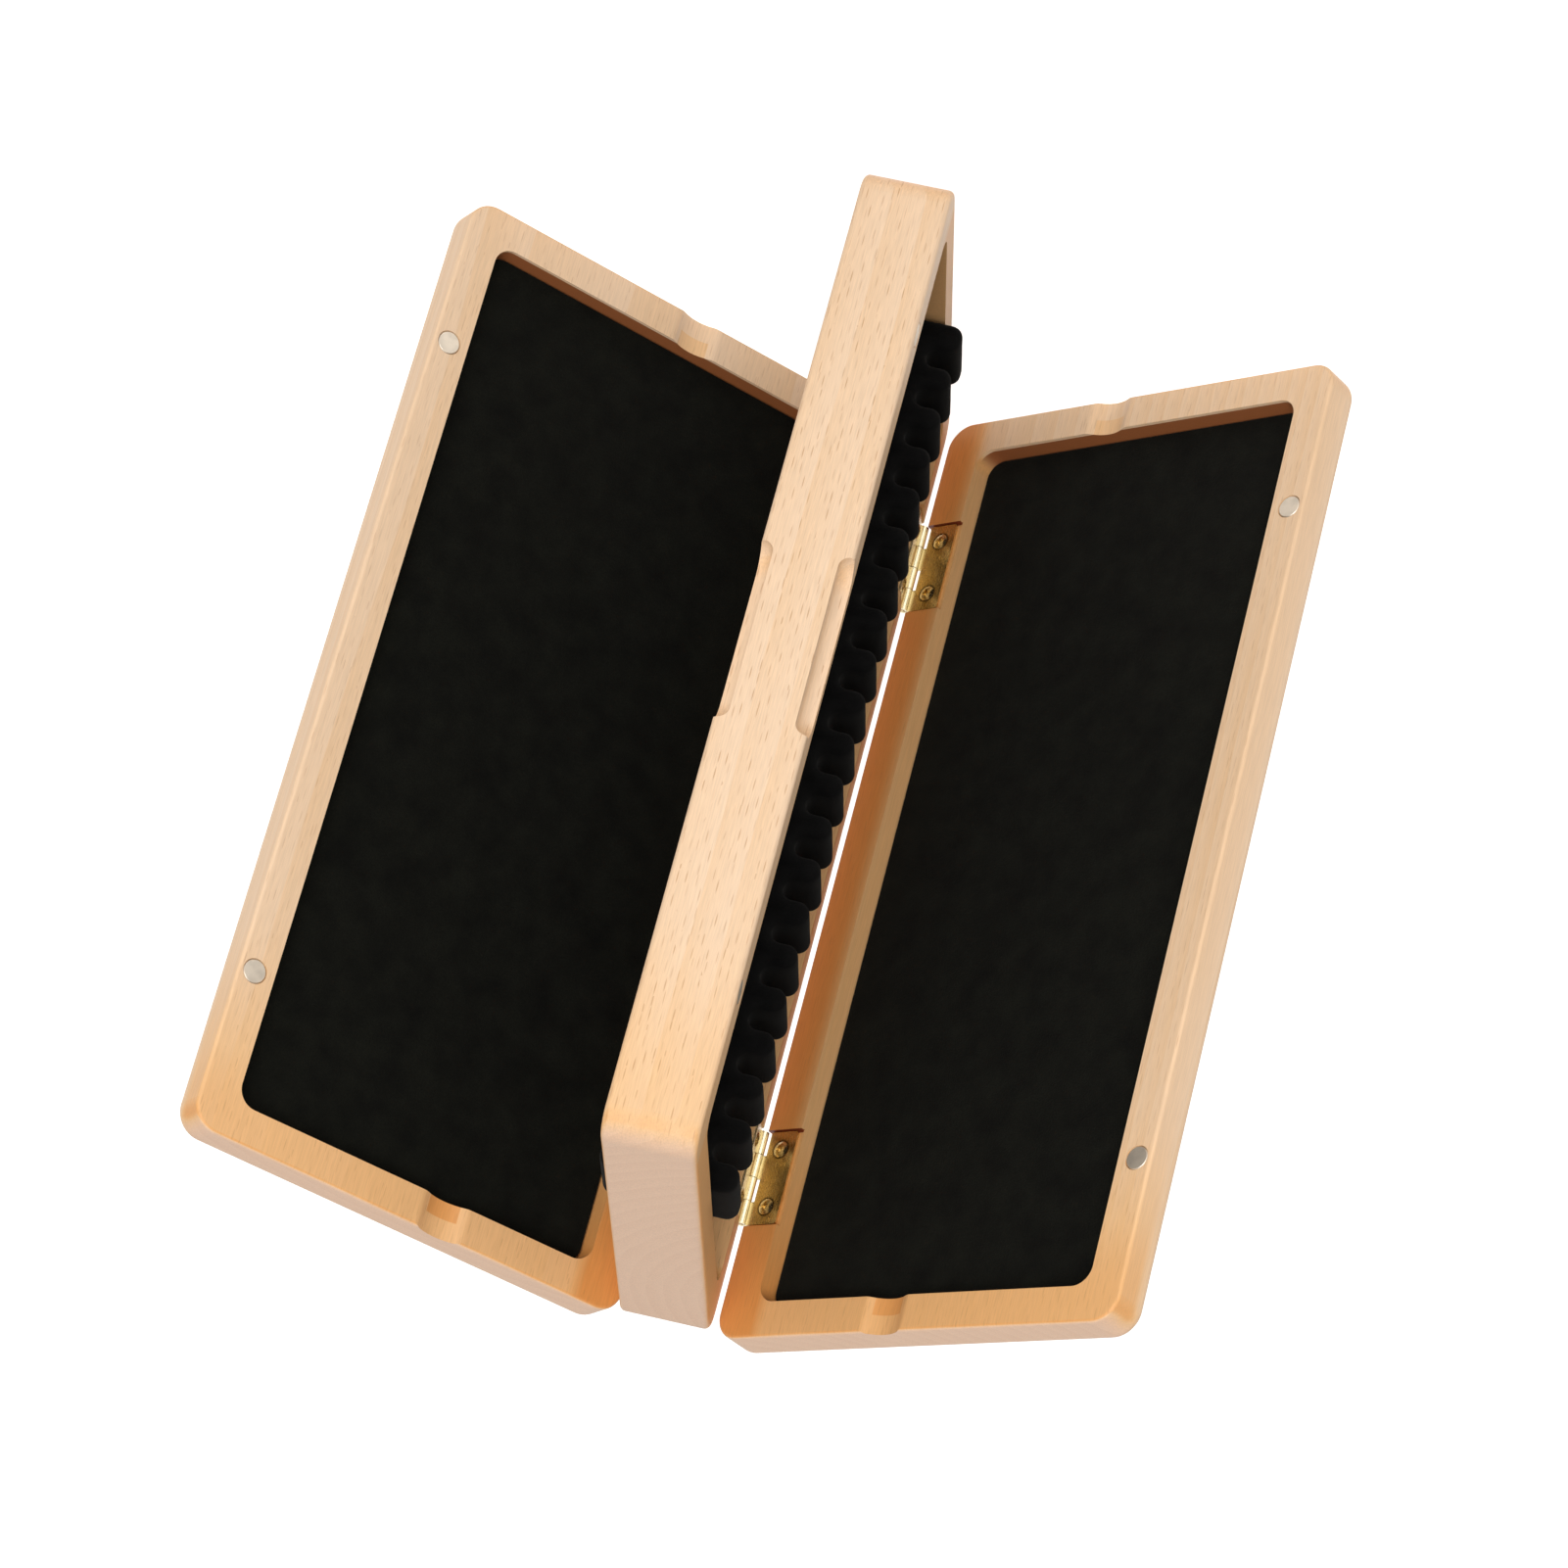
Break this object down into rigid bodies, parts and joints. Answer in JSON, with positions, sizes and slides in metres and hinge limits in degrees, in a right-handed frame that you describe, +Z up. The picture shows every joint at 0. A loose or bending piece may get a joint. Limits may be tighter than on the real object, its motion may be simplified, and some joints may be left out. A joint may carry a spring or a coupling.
{
  "type": "oboe reed case",
  "caption": "Slim wooden reed case: a centre frame with ribbed velvet rails on both faces and two felt-lined lids on small brass hinges, shut by disc magnets.",
  "frame": {"origin": "middle of the centre frame's lower end face", "axes": "+Z up the case's length, as it stands on its end; -Y towards the front edge with the finger pockets and magnets; +Y towards the hinged edge; -X is the left lid"},
  "size_m": [0.1856, 0.1042, 0.208],
  "materials": {
    "beech": "satin lacquer",
    "bare_wood": "bare",
    "black_felt": "matte",
    "black_velvet": "soft pile",
    "magnet": "bright nickel",
    "hinge_brass": "polished",
    "screw_brass": "polished"
  },
  "bodies": {
    "frame": {"centre_frame": "beech", "left_bay_felt": "black_felt", "left_rail_comb": "bare_wood", "left_rail_velvet": "black_velvet", "left_frame_magnets": "magnet", "left_lower_hinge_frame_leaf": "hinge_brass", "left_lower_hinge_pin": "hinge_brass", "left_lower_hinge_frame_screws": "screw_brass", "left_upper_hinge_frame_leaf": "hinge_brass", "left_upper_hinge_pin": "hinge_brass", "left_upper_hinge_frame_screws": "screw_brass", "right_bay_felt": "black_felt", "right_rail_comb": "bare_wood", "right_rail_velvet": "black_velvet", "right_frame_magnets": "magnet", "right_lower_hinge_frame_leaf": "hinge_brass", "right_lower_hinge_pin": "hinge_brass", "right_lower_hinge_frame_screws": "screw_brass", "right_upper_hinge_frame_leaf": "hinge_brass", "right_upper_hinge_pin": "hinge_brass", "right_upper_hinge_frame_screws": "screw_brass"},
    "left_lid": {"left_lid": "beech", "left_lid_felt": "black_felt", "left_lid_magnets": "magnet", "left_lower_hinge_lid_leaf": "hinge_brass", "left_lower_hinge_lid_screws": "screw_brass", "left_upper_hinge_lid_leaf": "hinge_brass", "left_upper_hinge_lid_screws": "screw_brass"},
    "right_lid": {"right_lid": "beech", "right_lid_felt": "black_felt", "right_lid_magnets": "magnet", "right_lower_hinge_lid_leaf": "hinge_brass", "right_lower_hinge_lid_screws": "screw_brass", "right_upper_hinge_lid_leaf": "hinge_brass", "right_upper_hinge_lid_screws": "screw_brass"}
  },
  "joints": [
    {"name": "left_lid_hinge", "type": "hinge", "parent": "frame", "child": "left_lid", "pos_m": [-0.0091, 0.04925, 0.104], "axis": [0, 0, -1], "range_deg": [-52.6, 127.4]},
    {"name": "right_lid_hinge", "type": "hinge", "parent": "frame", "child": "right_lid", "pos_m": [0.0091, 0.04925, 0.104], "axis": [0, 0, 1], "range_deg": [-55.5, 124.5]}
  ]
}
